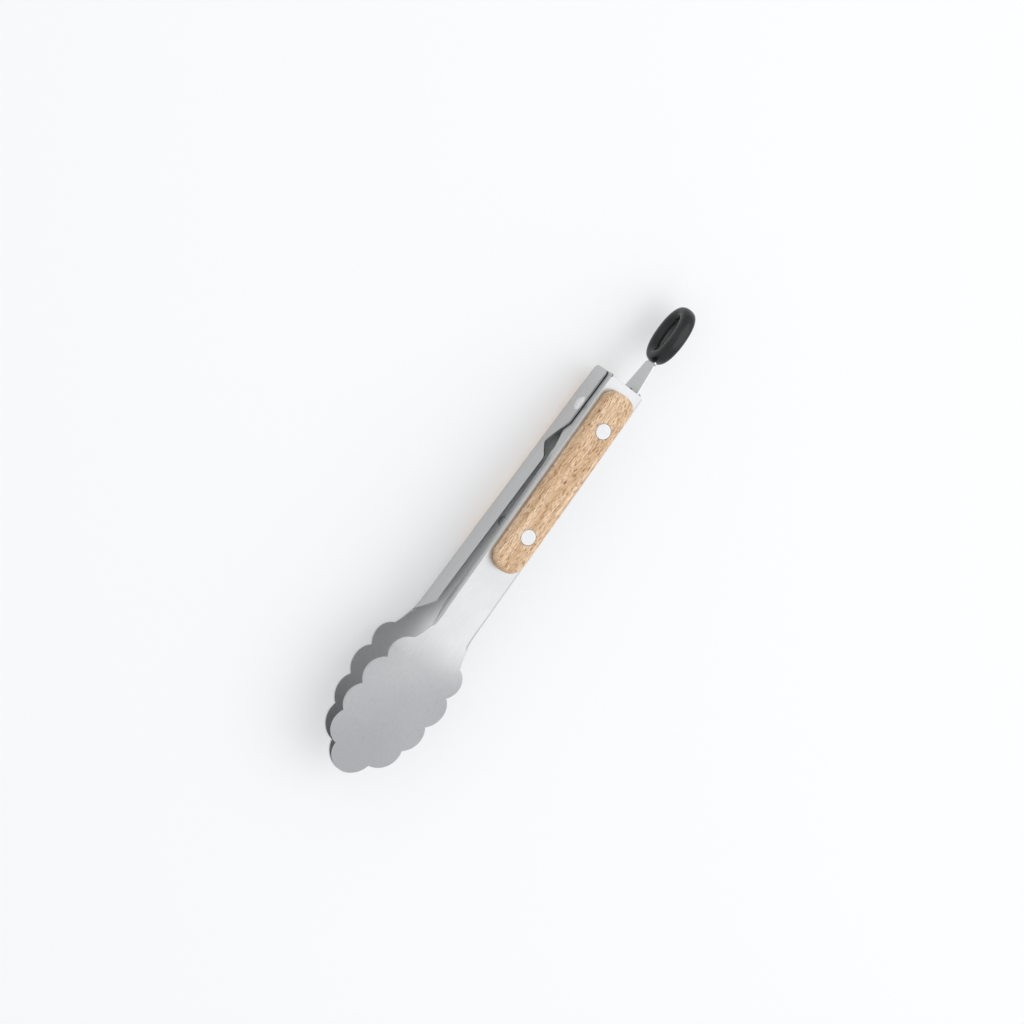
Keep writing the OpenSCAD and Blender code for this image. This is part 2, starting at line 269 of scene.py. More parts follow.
# %% Satin steel
brush_pull = 0.35
scratch_tones = (-0.05, 0.025)
cloud_size = (60.0, 60.0, 60.0)
cloud_range = (0.12, 0.4)
cloud_roughness = (-0.05, 0.07)
scratch_depth = 0.0008 * MM


def satin_steel(name, tone, rough, along):
    """Brushed metal: fine streaks vary its colour and roughness, and tilt the surface a little."""
    tree, shader, finish = new_finish(name, Metallic=1.0, Anisotropic=brush_pull)
    where = add_node(tree, "TexCoord").outputs["Object"]
    line = streaks(tree, where, along, 2.0)
    cloud = streaks(tree, where, cloud_size, 3.0, 0.5)
    mixed = add_node(tree, "Math", {0: line, 1: cloud}, operation="MULTIPLY")
    tones = [grey(tone + change) for change in scratch_tones]
    gloss = [grey(rough + change) for change in cloud_roughness]
    tree.links.new(add_ramp(tree, line, *middle, *tones), shader.inputs["Base Color"])
    tree.links.new(add_ramp(tree, mixed.outputs["Value"], *cloud_range, *gloss),
                   shader.inputs["Roughness"])
    raise_bumps(tree, shader, line, scratch_depth)
    return finish


arm_steel = satin_steel("arm_steel_satin", 0.55, 0.34, along=(30.0, 3600.0, 3600.0))
tab_steel = satin_steel("tab_steel_satin", 0.62, 0.32, along=(3600.0, 3600.0, 60.0))
print("finishes", arm_steel.name, tab_steel.name)

# %% [markdown]
# ### Bright steel
# Rivets and the pin are turned or pressed parts. Their faces carry faint rings from the tool, so
# the pattern follows the map that the revolved surface brings with it: its second number is the
# distance from the middle of the head.

# %% Bright steel
ring_tones = (-0.07, 0.04)
mark_size = (900.0, 900.0, 900.0)
mark_range = (0.35, 0.7)
mark_roughness = (-0.05, 0.1)
ring_depth = 0.004 * MM


def turned_steel(name, tone, rough, rings):
    """Bright metal with fine rings at the given number per metre, and small random marks."""
    tree, shader, finish = new_finish(name, Metallic=1.0)
    chart = add_node(tree, "UVMap", uv_map="metres").outputs["UV"]
    where = add_node(tree, "TexCoord").outputs["Object"]
    ring = streaks(tree, chart, (30.0, rings, 1.0), 2.0)
    mark = streaks(tree, where, mark_size, 4.0, 0.7)
    tones = [grey(tone + change) for change in ring_tones]
    gloss = [grey(rough + change) for change in mark_roughness]
    tree.links.new(add_ramp(tree, ring, *middle, *tones), shader.inputs["Base Color"])
    tree.links.new(add_ramp(tree, mark, *mark_range, *gloss), shader.inputs["Roughness"])
    raise_bumps(tree, shader, ring, ring_depth)
    return finish


rivet_steel = turned_steel("rivet_steel_ground", 0.54, 0.26, rings=4500.0)
pin_steel = turned_steel("pin_steel_bright", 0.72, 0.22, rings=3000.0)
spring_steel = turned_steel("spring_wire_drawn", 0.5, 0.34, rings=60.0)
print("finishes", rivet_steel.name, pin_steel.name, spring_steel.name)

# %% [markdown]
# ### Pale open-pored wood
# The scales are a light hardwood, sanded and oiled. Three patterns in the wood's own space make
# it: broad bands for the growth rings, fine fibre streaks, and pores, which are dark dashes
# about three millimetres long and a quarter wide. Because the pattern is solid, the ends show the
# same fibres cut across, as real end grain does. The pores are also a little lower than the
# surface. A slow drift bends all three, so that no line of the grain runs dead straight.

# %% Wood
drift_size, drift_by = (14.0, 90.0, 90.0), 0.004
band_size, band_range = (14.0, 420.0, 260.0), (0.36, 0.64)
band_colours = ((0.68, 0.445, 0.255), (0.95, 0.72, 0.51))
fibre_size, fibre_range = (150.0, 4200.0, 3200.0), (0.34, 0.62)
fibre_colours = ((0.76, 0.68, 0.58), (1.05, 1.05, 1.05))
pore_size, pore_range = (380.0, 4000.0, 3200.0), (0.56, 0.63)
pore_colours = ((1.0, 1.0, 1.0), (0.44, 0.31, 0.21))
oil_roughness = (grey(0.42), grey(0.58))
pore_depth, pore_share = 0.03 * MM, 0.7


def oiled_wood(name):
    """Ring bands times fibre streaks give the colour; thresholded long noise gives the pores."""
    tree, shader, finish = new_finish(name, IOR=1.47)
    where = add_node(tree, "TexCoord").outputs["Object"]
    wander = add_node(tree, "Mapping", {"Vector": where}, Scale=drift_size)
    drift = add_node(tree, "TexNoise", {"Vector": wander.outputs["Vector"]}, Scale=1.0)
    bent = add_node(tree, "MixRGB", {"Color1": where, "Color2": drift.outputs["Color"]},
                    blend_type="ADD", Fac=drift_by)
    place = bent.outputs["Color"]
    band = streaks(tree, place, band_size, 2.0)
    fibre = streaks(tree, place, fibre_size, 3.0, 0.7)
    pore = streaks(tree, place, pore_size, 1.0, 0.4)
    base = add_ramp(tree, band, *band_range, *band_colours)
    thread = add_ramp(tree, fibre, *fibre_range, *fibre_colours)
    dash = add_ramp(tree, pore, *pore_range, *pore_colours)
    lines = add_node(tree, "MixRGB", {"Color1": base, "Color2": thread}, blend_type="MULTIPLY",
                     Fac=1.0)
    colour = add_node(tree, "MixRGB", {"Color1": lines.outputs["Color"], "Color2": dash},
                      blend_type="MULTIPLY", Fac=1.0)
    tree.links.new(colour.outputs["Color"], shader.inputs["Base Color"])
    tree.links.new(add_ramp(tree, fibre, *middle, *oil_roughness), shader.inputs["Roughness"])
    depth = add_node(tree, "Math", {0: dash, 1: fibre}, operation="MULTIPLY_ADD")
    tree.links.new(dash, depth.inputs[2])
    raise_bumps(tree, shader, depth.outputs["Value"], pore_depth, pore_share)
    return finish


handle_wood = oiled_wood("handle_wood_oiled")
print("finish", handle_wood.name)

# %% [markdown]
# ### Moulded rubber
# The pull ring is black rubber from a polished mould, so it is smooth with a soft gloss, and
# hands leave it a little uneven. A fine noise gives the skin, a broad one the handled patches.

# %% Rubber
patch_size, patch_greys = (160.0, 160.0, 160.0), (grey(0.006), grey(0.014))
patch_roughness = (grey(0.20), grey(0.34))
skin_size, skin_depth, skin_share = (3800.0, 3800.0, 3800.0), 0.01 * MM, 0.5


def moulded_rubber(name):
    """Near black, with a gloss that varies slowly and a very fine skin."""
    tree, shader, finish = new_finish(name, IOR=1.44)
    where = add_node(tree, "TexCoord").outputs["Object"]
    patch = streaks(tree, where, patch_size, 3.0)
    skin = streaks(tree, where, skin_size, 2.0)
    tree.links.new(add_ramp(tree, patch, *middle, *patch_greys), shader.inputs["Base Color"])
    tree.links.new(add_ramp(tree, patch, *middle, *patch_roughness), shader.inputs["Roughness"])
    raise_bumps(tree, shader, skin, skin_depth, skin_share)
    return finish


ring_rubber = moulded_rubber("ring_rubber_black")
print("finish", ring_rubber.name)

# %% [markdown]
# ## The arms
# An arm starts as a flat blank of 0.9 mm sheet: a strip with a lobed head. The press folds its
# long edges up into flanges, which lean inwards, deepen into ears at the hinge and run out at
# the neck, and it bends the head towards its partner. The arm here is made the same way. The
# outline is a formula along the arm, each cross-section is the blank followed round the fold,
# and the side view is a straight line with two arcs. A plate with added walls would be quicker,
# but it would have sharp corners where the light on the real arm rolls round a bend.

# %% Sizes of an arm
sheet = 0.9 * MM
pin_high = 11 * MM
web_half = 10.7 * MM
web_end = 19.3 * MM
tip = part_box("lower_arm")[0][0]
head_half = (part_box("lower_arm")[1][1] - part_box("lower_arm")[0][1]) / 2
neck = tip + 89.6 * MM
flare_radius, flare_reach = 39 * MM, 0.9
fold_radius = 1.0 * MM
flange_lean = np.radians(16)
print("arm", round((web_end - tip) / MM, 1), "mm long, head", round(2 * head_half / MM, 1), "mm wide")

# %% [markdown]
# The head's edge is a row of round lobes on half an ellipse, wider than the web, with sharp
# nicks between them. The edge's distance from the middle is the largest of the lobes' circles
# at that place, and the flare is a hollow arc that widens the neck.

# %% Outline of the blank
lobe_radii = np.array([10.6, 10.6, 10.6, 10.6, 9.6]) * MM
lobe_turns = np.radians([0, 43, 68.5, 94, 120])
lobe_row = 35 * MM
lobe_x = tip + lobe_radii[0] + lobe_row * (1 - np.cos(lobe_turns))
lobe_y = (head_half - lobe_radii[0]) * np.sin(lobe_turns)
flare_end = lobe_x[-1] + flare_reach * lobe_radii[-1]


def edges_at(x):
    """Half-widths of circles and flare at each x: centre plus root of r squared less dx squared."""
    dx = x[:, None] - lobe_x
    inside = lobe_radii ** 2 - dx ** 2
    lobes = np.where(inside >= 0, lobe_y + np.sqrt(np.maximum(inside, 0)), 0)
    back = np.clip(neck - x, 0, None)
    flare = web_half + flare_radius - np.sqrt(flare_radius ** 2 - np.minimum(back, flare_radius) ** 2)
    return np.column_stack([lobes, np.where(x >= flare_end, flare, 0)])


def half_width(x):
    """Half of the blank's visible width: the widest of the lobes and the flare."""
    return edges_at(x).max(axis=1)


print("the head is widest", round(2 * half_width(np.linspace(tip, neck, 400)).max() / MM, 1), "mm")

# %% [markdown]
# The grid needs a row at each nick, or the nicks would be cut off, and rows that go round each
# lobe in even steps of its own circle. Rows that come too close to a nick are left out.

# %% Rows along the head
lobe_step, nick_clear = 6, 0.12 * MM


def head_stations():
    """Places along the head: steps round each lobe where it is the outermost, and each nick."""
    turn = np.radians(np.arange(lobe_step / 2, 178, lobe_step))
    x = (lobe_x[:, None] - lobe_radii[:, None] * np.cos(turn)).ravel()
    owner = np.repeat(np.arange(len(lobe_x)), len(turn))
    x = x[edges_at(x).argmax(axis=1) == owner]
    fine = np.linspace(tip, neck, 20001)
    winner = edges_at(fine).argmax(axis=1)
    nicks = fine[np.flatnonzero(np.diff(winner))]
    clear = np.abs(x[:, None] - nicks).min(axis=1) > nick_clear
    return np.concatenate([x[clear], nicks]), nicks


head_x, nicks = head_stations()
print("nicks at", np.round((nicks - tip) / MM, 1), "mm from the tip")

# %% [markdown]
# How deep the folded edge stands is a second outline: full at the ears, a sloping cut down to a
# notch, the flange along the handle, and a run-out at the neck. Averaging it over a short
# stretch rounds the corners, as a blanking tool's corners are.

# %% Depth of the folded edge
run_out, flange_full, notch_front, notch_foot, ear_front = (
    np.array([-127.7, -116.7, -30.6, -24.4, -10.1]) * MM)
flange_deep, notch_left, ear_deep = 10 * MM, 5 * MM, 14.5 * MM
depth_x = np.array([run_out, flange_full, notch_front, notch_foot, ear_front, web_end])
depth_d = np.array([0, flange_deep, flange_deep, notch_left, ear_deep, ear_deep])
corner_run = np.linspace(-0.7, 0.7, 9) * MM
upright_from, upright_run = -22 * MM, 10 * MM


def flange_depth(x):
    """Depth of the folded edge below the web's outer face, averaged over the corner run."""
    return np.interp(x[:, None] + corner_run, depth_x, depth_d).mean(axis=1)


def lean_at(x):
    """The flange leans inwards along the handle and stands upright where it is an ear."""
    return flange_lean * smooth((upright_from - x) / upright_run)


print("flange", round(flange_deep / MM, 1), "mm deep, ear", round(ear_deep / MM, 1), "mm deep")

# %% [markdown]
# A cross-section is the blank followed from the middle outwards: along the flat web, round the
# fold, and up the flange. A point a distance s from the middle lands at an angle on the fold
# circle, or past it on the straight. Its inner twin is one sheet thickness away, along the
# normal. Where hardly any flange is left, the fold's own angle fades out, so that the flange
# melts into the neck instead of ending in a step.

# %% Cross-section of the folded blank
flat_cols, fold_cols, flange_cols = 13, 9, 16
least_sine = 0.05
even_from, even_run = -108 * MM, 14 * MM


def section(x):
    """Outer and inner (across, depth) of half a section at each station, middle to lip."""
    width, deep = half_width(x)[:, None], flange_depth(x)[:, None]
    full = np.pi / 2 + lean_at(x)[:, None]
    turn = np.minimum(full, np.arccos(np.clip(1 - deep / fold_radius, -1, 1)))
    flat = width - fold_radius * np.where(turn < np.pi / 2, np.sin(turn), 1)
    up = np.maximum(0, deep - fold_radius * (1 - np.cos(turn))) / np.maximum(np.sin(turn), least_sine)
    up = np.where(turn < full, 0, up)
    stops = np.concatenate([np.linspace(0, 1, flat_cols + 1) * flat,
                            flat + np.linspace(0, 1, fold_cols + 1)[1:] * fold_radius * turn,
                            flat + fold_radius * turn
                            + np.sin(np.linspace(0, np.pi / 2, flange_cols + 1)[1:]) * up], 1)
    even = np.linspace(0, 1, stops.shape[1]) * stops[:, -1:]
    fade = smooth((even_from - x) / even_run)[:, None]
    s = stops * (1 - fade) + even * fade
    angle = np.clip((s - flat) / fold_radius, 0, turn)
    past = np.maximum(0, s - flat - fold_radius * turn)
    across = np.minimum(s, flat) + fold_radius * np.sin(angle) + past * np.cos(turn)
    depth = fold_radius * (1 - np.cos(angle)) + past * np.sin(turn)
    return across, depth, across - sheet * np.sin(angle), depth + sheet * np.cos(angle)


print("a half section has", 1 + flat_cols + fold_cols + flange_cols, "points")

# %% [markdown]
# Seen from the side, the web is straight, the neck bends it inwards on one arc and the head goes
# on along a flatter one. A point keeps its depth below the outer face, measured square to the
# arc. The head is also dished: its rims lie a little nearer to the partner than its middle.

# %% Side view of an arm
bend_start = tip + 86 * MM
bend_run = 24 * MM
neck_slope, tip_slope = np.radians(9), np.radians(16.5)
bend_radius = bend_run / np.sin(neck_slope)
head_radius = (bend_start - bend_run - tip) / (np.sin(tip_slope) - np.sin(neck_slope))
dish_deep, dish_start, dish_end = 1.5 * MM, 34 * MM, 52 * MM


def follow_side(x, across, depth):
    """Lays stations along the side view: x moves by depth times sine, z by its cosine."""
    run = np.clip(bend_start - x, 0, None)[:, None]
    in_bend = run < bend_run
    past = run - bend_run + head_radius * np.sin(neck_slope)
    slope = np.where(in_bend, np.arcsin(np.minimum(run / bend_radius, 1)),
                     np.arcsin(np.clip(past / head_radius, 0, 1)))
    rise = np.where(in_bend, bend_radius * (1 - np.cos(slope)),
                    bend_radius * (1 - np.cos(neck_slope))
                    + head_radius * (np.cos(neck_slope) - np.cos(slope)))
    dish = dish_deep * smooth(run / dish_start) * smooth((x[:, None] - tip) / dish_end)
    depth = depth + dish * (across / head_half) ** 2
    return np.stack([x[:, None] + depth * np.sin(slope), across,
                     rise + depth * np.cos(slope) - pin_high], 2)


print("the head bends on a radius of", round(head_radius / MM), "mm")

# %% [markdown]
# At the hinge the ears reach past the end of the web and have round corners, so the last rows
# of the grid are stretched until each column ends on that outline. A small nick at the end of
# each fold keeps the sheet from tearing. One arm's ears go inside its partner's: they are
# stepped in by a sheet and a gap. The step starts in the fold, because the partner's ears come
# close under the web when the tongs are wide open.

# %% Ears
ear_over, ear_corner, ear_ease = 1 * MM, 2.5 * MM, 2 * MM
fold_nick = 1 * MM
ear_rows = np.linspace(0, 1, 15)[1:]
step_in, step_top, step_high = 1.2 * MM, 0.25 * MM, 1 * MM
step_front, step_run = -26 * MM, 10 * MM
web_calm, web_squeeze = 6 * MM, 2.5 * MM


def ear_end(across, depth):
    """Where each column ends: level with the web, nicked at the fold, then past it, then round."""
    out = web_end + ear_over * smooth((depth - sheet) / ear_ease)
    off = np.hypot(np.abs(across) - web_half + 0.5 * fold_nick, depth - 0.5 * fold_nick)
    out = out - fold_nick * np.exp(-(off / fold_nick) ** 2)
    into = np.clip(depth - (ear_deep - ear_corner), 0, ear_corner)
    return out - ear_corner + np.sqrt(ear_corner ** 2 - into ** 2)


def stepped(x, across, depth, amount):
    """Moves an ear inwards: none of amount near the web's middle, all of it below the fold."""
    here = smooth((x - step_front) / step_run) * smooth((np.abs(across) - web_calm) / web_squeeze)
    return across - np.sign(across) * amount * here * smooth((depth - step_top) / step_high)


print("inner ears are stepped in by", round(step_in / MM, 1), "mm")

# %% [markdown]
# A sheared edge isn't razor sharp: tumbling rounds it by a tenth of a millimetre or more. The rim
# is therefore a strip of its own round the blank, whose profile leaves the face, turns, crosses
# the thickness and turns again. The faces stop short by the radius, so the strip meets them
# smoothly.

# %% Rounded rim
rim_round = 0.14 * MM
rim_turn = np.radians([0, 22.5, 45, 67.5, 90])


def rim_strip(face, back, outward, radius=rim_round):
    """Edges of face and back pulled in by the radius, and the strip that joins them."""
    normal = back - face
    normal /= np.linalg.norm(normal, axis=1, keepdims=True)
    rows = [face + radius * ((np.sin(t) - 1) * outward + (1 - np.cos(t)) * normal)
            for t in rim_turn]
    rows += [back + radius * ((np.sin(t) - 1) * outward - (1 - np.cos(t)) * normal)
             for t in rim_turn[::-1]]
    return rows[0], rows[-1], np.stack(rows)


def outward_of(loop, normal, inner):
    """Direction square to a closed edge in its own surface, pointing away from the metal."""
    along = np.roll(loop, -1, 0) - np.roll(loop, 1, 0)
    side = np.cross(along, normal)
    side /= np.linalg.norm(side, axis=1, keepdims=True)
    return side * np.sign(np.sum(side * (loop - inner)))


def close_sheet(face, back):
    """Face and back grids of a sheet, joined round the rim; rows run along the blank."""
    n, m = face.shape[:2]
    i = np.concatenate([np.zeros(m, int), np.arange(1, n), np.full(m - 1, n - 1),
                        np.arange(n - 2, 0, -1)])
    j = np.concatenate([np.arange(m), np.full(n - 1, m - 1), np.arange(m - 2, -1, -1),
                        np.zeros(n - 2, int)])
    mid = face[np.clip(i, 1, n - 2), np.clip(j, 1, m - 2)]
    out = outward_of(face[i, j], back[i, j] - face[i, j], mid)
    face, back = face.copy(), back.copy()
    face[i, j], back[i, j], strip = rim_strip(face[i, j], back[i, j], out)
    return [face, back, np.concatenate([strip, strip[:, :1]], 1)]


print("edges are rounded by", round(rim_round / MM, 2), "mm")

# %% [markdown]
# Rows lie close together where the shape changes, in the neck and round the notch, and far apart
# along the straight handle and the ears.

# %% Rows of a whole arm
handle_from, notch_from, ears_from = -112, -36, -6
neck_rows = np.arange(nicks.max() / MM + 1, handle_from, 0.8) * MM
handle_rows = np.arange(handle_from, notch_from, 4) * MM
notch_rows = np.arange(notch_from, ears_from, 0.7) * MM
pin_rows = np.array([ears_from, -3, 0, 4, 8]) * MM
stations = np.unique(np.round(np.concatenate([head_x, neck_rows, handle_rows, notch_rows,
                                              pin_rows]), 8))
print(len(stations), "rows from the tip to the ears")

# %% [markdown]
# Now the whole arm: half a section is mirrored to the other side, the ears' rows are added, and
# face and back are laid along the side view. Both arms come from the same call. Only the upper
# one is given the step.

# %% Both arms
def arm_grids(inset):
    """Face and back of a whole arm; its ears are stepped in by inset."""
    across, depth, across_in, depth_in = section(stations)
    far = stations[-1]
    rear = far + (ear_end(across[-1], depth[-1]) - far) * ear_rows[:, None]
    x = np.concatenate([np.repeat(stations[:, None], depth.shape[1], 1), rear])
    grids = []
    for side_y, side_d in ((across, depth), (across_in, depth_in)):
        side_y = np.concatenate([side_y, np.repeat(side_y[-1:], len(ear_rows), 0)])
        side_d = np.concatenate([side_d, np.repeat(side_d[-1:], len(ear_rows), 0)])
        side_y = stepped(x, side_y, side_d, inset)
        whole_y = np.concatenate([-side_y[:, :0:-1], side_y], 1)
        whole_d = np.concatenate([side_d[:, :0:-1], side_d], 1)
        whole_x = np.concatenate([x[:, :0:-1], x], 1)
        spine_x = whole_x[:, whole_x.shape[1] // 2]
        grid = follow_side(spine_x, whole_y, whole_d)
        grid[..., 0] += whole_x - spine_x[:, None]
        grids.append(grid)
    return close_sheet(*grids)


add_piece("pressed_arm_lower", [on_lower(g) for g in arm_grids(0)], arm_steel, "lower_half",
          ["lower_arm"])
add_piece("pressed_arm_upper", [on_upper(g) for g in arm_grids(step_in)], arm_steel, "upper_half",
          ["upper_arm"])

# %% [markdown]
# ## The wooden scales
# A scale is sawn from a strip, rounded at both ends on a sander and broken along its outer edge.
# The end towards the head is close to a half circle, and the hinge end is flatter. Its surface
# is an outline that shrinks towards the line along the middle while it rises: first up the side,
# then round the edge, then across a barely crowned top. Two counterbores take the rivet heads,
# and a Boolean cut is the honest way to bore them, since the real ones are drilled last.

# %% Sizes of a scale
wood_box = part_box("lower_handle_scale")
wood_front, wood_rear = wood_box[0][0], wood_box[1][0]
wood_half = (wood_box[1][1] - wood_box[0][1]) / 2
wood_thick = 7 * MM
wood_edge = 2.8 * MM
end_length = {"front": 8.2 * MM, "rear": 6.4 * MM}
end_power = {"front": 2.1, "rear": 2.25}
rivet_inset = 20.1 * MM
rivet_x = {"rear": wood_rear - rivet_inset, "front": wood_front + rivet_inset}
print("scale", round((wood_rear - wood_front) / MM, 1), "mm long,", round(2 * wood_half / MM, 1),
      "mm wide")

# %% [markdown]
# An end's outline is a curve between an oval and a box: across and along, each as a share of its
# own full size and raised to the end's power, add up to 1. A power of 2 is an oval.

# %% Outline of a scale
def scale_outline(steps=48):
    """Closed outline: two rounded ends whose x and y powers add up to 1, joined by straights."""
    t = np.linspace(-np.pi / 2, np.pi / 2, steps)
    parts, spine = [], []
    for end, side, place in (("rear", 1, wood_rear), ("front", -1, wood_front)):
        power = 2 / end_power[end]
        x = end_length[end] * np.abs(np.cos(t)) ** power
        y = wood_half * np.sign(np.sin(t)) * np.abs(np.sin(t)) ** power
        root = place - side * end_length[end]
        parts.append(np.stack([root + side * x, side * y], 1))
        spine.append(np.stack([root + 0 * x, 0 * y], 1))
        run = np.linspace(0, 1, 26)[1:-1, None]
        other = wood_front + end_length["front"] if end == "rear" else wood_rear - end_length["rear"]
        parts.append(np.hstack([root + (other - root) * run, 0 * run + side * wood_half]))
        spine.append(np.hstack([root + (other - root) * run, 0 * run]))
    loop, line = np.concatenate(parts), np.concatenate(spine)
    return np.vstack([loop, loop[:1]]), np.vstack([line, line[:1]])


print("the outline has", len(scale_outline()[0]), "points")

# %% [markdown]
# From the middle of the underside a row goes out to the foot, up the side, round the edge and
# back across the top to the middle line. Swept round the outline, the rows close the scale.

# %% Surface of a scale
crown, foot_break, top_drop = 0.12 * MM, 0.12 * MM, 0.01 * MM
side_from, side_to = 0.8 * MM, wood_thick - wood_edge - 0.3 * MM


def scale_grid():
    """Rows of (share of the way out from the middle line, height) swept round the outline."""
    loop, line = scale_outline()
    turn = np.linspace(0, np.pi / 2, 7)[1:]
    top = np.linspace(1, 0, 9)[1:]
    edge = wood_edge / wood_half
    out = np.concatenate([[0, 0.5, 0.985, 1], np.ones(5), 1 - edge * (1 - np.cos(turn)),
                          (1 - edge) * top])
    high = np.concatenate([[0, 0, 0, foot_break], np.linspace(side_from, side_to, 5),
                           wood_thick - wood_edge * (1 - np.sin(turn)) - crown,
                           wood_thick - crown * top ** 2 - top_drop])
    flat = line + (loop - line) * out[:, None, None]
    return np.concatenate([flat, np.broadcast_to(-pin_high - high[:, None, None],
                                                 (*flat.shape[:2], 1))], 2)


print("the side stands straight from", round(side_from / MM, 1), "to", round(side_to / MM, 1), "mm")

# %% [markdown]
# The cutter for the counterbores is turned about each rivet's axis. Its floor is where the
# rivet's head sits, and its top stands clear of the wood. Edges sharper than the given angle
# stay crisp in the shading, and the rest is smooth.

# %% Both scales
bore_radius, bore_floor, bore_top = 4.07 * MM, 5.75 * MM, wood_thick + 0.5 * MM
crisp_from = np.radians(35)


def bore(piece, cutter_grids):
    """Cuts the cutter's shape out of the piece and keeps the result as its mesh."""
    tool = bpy.data.objects.new("cutter", make_mesh("cutter", cutter_grids))
    bpy.context.scene.collection.objects.link(tool)
    cut = piece.modifiers.new("counterbores", "BOOLEAN")
    cut.object, cut.solver, cut.operation = tool, "EXACT", "DIFFERENCE"
    graph = bpy.context.evaluated_depsgraph_get()
    bored = bpy.data.meshes.new_from_object(piece.evaluated_get(graph))
    piece.modifiers.clear()
    piece.data = bored
    bpy.data.objects.remove(tool)
    bored.shade_smooth()
    bored.set_sharp_from_angle(angle=crisp_from)
    print(piece.name, "bored:", len(bored.polygons), "faces")


def at_rivets(profile, place):
    """The profile turned about each rivet's axis; heights run outwards from the web."""
    grids = []
    for x in rivet_x.values():
        grid = revolved(profile * [1, -1], 72) + [x, 0, -pin_high]
        grids.append(place(grid))
    return grids


counterbore = np.array([[0, bore_floor], [bore_radius, bore_floor], [bore_radius, bore_top],
                        [0, bore_top]])
lower_wood = add_piece("wood_scale_lower", [on_lower(scale_grid())], handle_wood, "lower_half",
                       ["lower_handle_scale"])
bore(lower_wood, at_rivets(counterbore, on_lower))
upper_wood = add_piece("wood_scale_upper", [on_upper(scale_grid())], handle_wood, "upper_half",
                       ["upper_handle_scale"])
bore(upper_wood, at_rivets(counterbore, on_upper))

# %% [markdown]
# ## Rivets and pin
# A handle rivet has a flat head that is ground flush with the wood, a plain shank, and a hollow
# tail whose rim is rolled over on the inside of the web. All of it is one profile turned about
# an axis. Its sizes are in millimetres, with heights counted outwards from the web's outer face.

# %% Rivets
head_face, head_fall, head_seat, head_side, head_break = 7, 0.015, 5.8, 4, 0.28
shank_side, web_inside = 2, -0.9
roll_middle, roll_wide, roll_high, roll_deep = 2.05, 0.85, -0.95, 0.73
hollow = [[1.2, 0.6], [0.9, 0.95], [0, 1.05]]


def rivet_profile():
    """Radius and height from the head's middle, down the shank, round the rolled rim, inside."""
    roll = np.linspace(0, np.pi, 13)
    corner = np.linspace(0, np.pi / 2, 5)
    head = [[0, head_face], [1.5, head_face], [3, head_face - head_fall / 3]]
    edge = np.stack([head_side - head_break * (1 - np.sin(corner)),
                     head_face - head_fall - head_break * (1 - np.cos(corner))], 1)
    shank = [[head_side, head_seat], [shank_side, head_seat], [shank_side, web_inside],
             [2.85, -0.92]]
    rim = np.stack([roll_middle + roll_wide * np.cos(roll), roll_high - roll_deep * np.sin(roll)], 1)
    return np.vstack([head, edge, shank, rim, hollow]) * MM


for half, place, body in (("lower", on_lower, "lower_half"), ("upper", on_upper, "upper_half")):
    for end, grid in zip(rivet_x, at_rivets(rivet_profile(), place)):
        add_piece(f"rivet_{half}_{end}", [grid], rivet_steel, body,
                  [f"{half}_{end}_rivet"])

# %% [markdown]
# The pin is turned too: a shank with a domed head beaten over on each side. The punch leaves a
# small flat on top of the dome, with a shallow dimple in its middle.

# %% Pin
pin_head_radius, pin_head_high, pin_radius = 3.9 * MM, 1.4 * MM, 2 * MM
dome_flat, dimple_deep, dimple_wide = 0.93, 0.06, 0.5 * MM


def pin_profile():
    """Domed head, shank, domed head: a dome's height falls off as on a ball of the same rise."""
    ball = (pin_head_radius ** 2 + pin_head_high ** 2) / (2 * pin_head_high)
    r = pin_head_radius * np.sin(np.linspace(0, np.pi / 2, 16))
    rise = np.sqrt(ball ** 2 - r ** 2) - (ball - pin_head_high)
    rise = np.minimum(rise, dome_flat * pin_head_high)
    rise = rise * (1 - dimple_deep * np.exp(-(r / dimple_wide) ** 2))
    dome = np.stack([r, web_half + rise], 1)
    neck_in = np.array([[pin_radius, web_half]])
    side = np.vstack([dome, neck_in])
    return np.vstack([side, side[::-1] * [1, -1]])


turned_pin = on_lower(revolved(pin_profile(), 72)[..., [0, 2, 1]])
add_piece("pivot_pin_domed", [turned_pin], pin_steel, "lower_half", ["pivot_pin"])

# %% [markdown]
# ## The torsion spring
# The spring is one length of wire: a leg on each web and seven and a half turns round the pin.
# When the arms open, each leg stays on its own web while the coil turns half as far, so the
# wire is made in three: the coil, and two legs that each start with a stretch of the last turn.
# The wire is a circle carried along its path, with a round cap on each end.

# %% Wire
wire = 0.8 * MM
coil_radius = 4.2 * MM
coil_y = np.array([-6.2, 7.5]) * MM
whole_turns = 7
leg_slope = np.radians(9.23)
leg_straight, leg_end, leg_ease = 34 * MM, 37.2 * MM, 60
coil_from = leg_slope - np.pi / 2
coil_sweep = 2 * np.pi * whole_turns + np.pi - 2 * leg_slope
leg_start = np.radians(70)


def tube(path, radius, sides=16):
    """A circle carried along the path, square to it, and shrunk to a round cap at both ends."""
    along = np.gradient(path, axis=0)
    along /= np.linalg.norm(along, axis=1, keepdims=True)
    cap = np.linspace(np.pi / 2, 0, 5)[:-1, None]
    centre = np.vstack([path[0] - along[0] * radius * np.sin(cap), path,
                        path[-1] + along[-1] * radius * np.sin(cap[::-1])])
    size = np.concatenate([np.cos(cap[:, 0]), np.ones(len(path)), np.cos(cap[::-1, 0])]) * radius
    along = np.vstack([np.repeat(along[:1], len(cap), 0), along, np.repeat(along[-1:], len(cap), 0)])
    up = np.array([0, 1, 0]) - along[:, 1:2] * along
    up /= np.linalg.norm(up, axis=1, keepdims=True)
    out = np.cross(along, up)
    turn = np.linspace(0, 2 * np.pi, sides + 1)[:, None]
    return centre[:, None] + size[:, None, None] * (up[:, None] * np.cos(turn)
                                                    + out[:, None] * np.sin(turn))


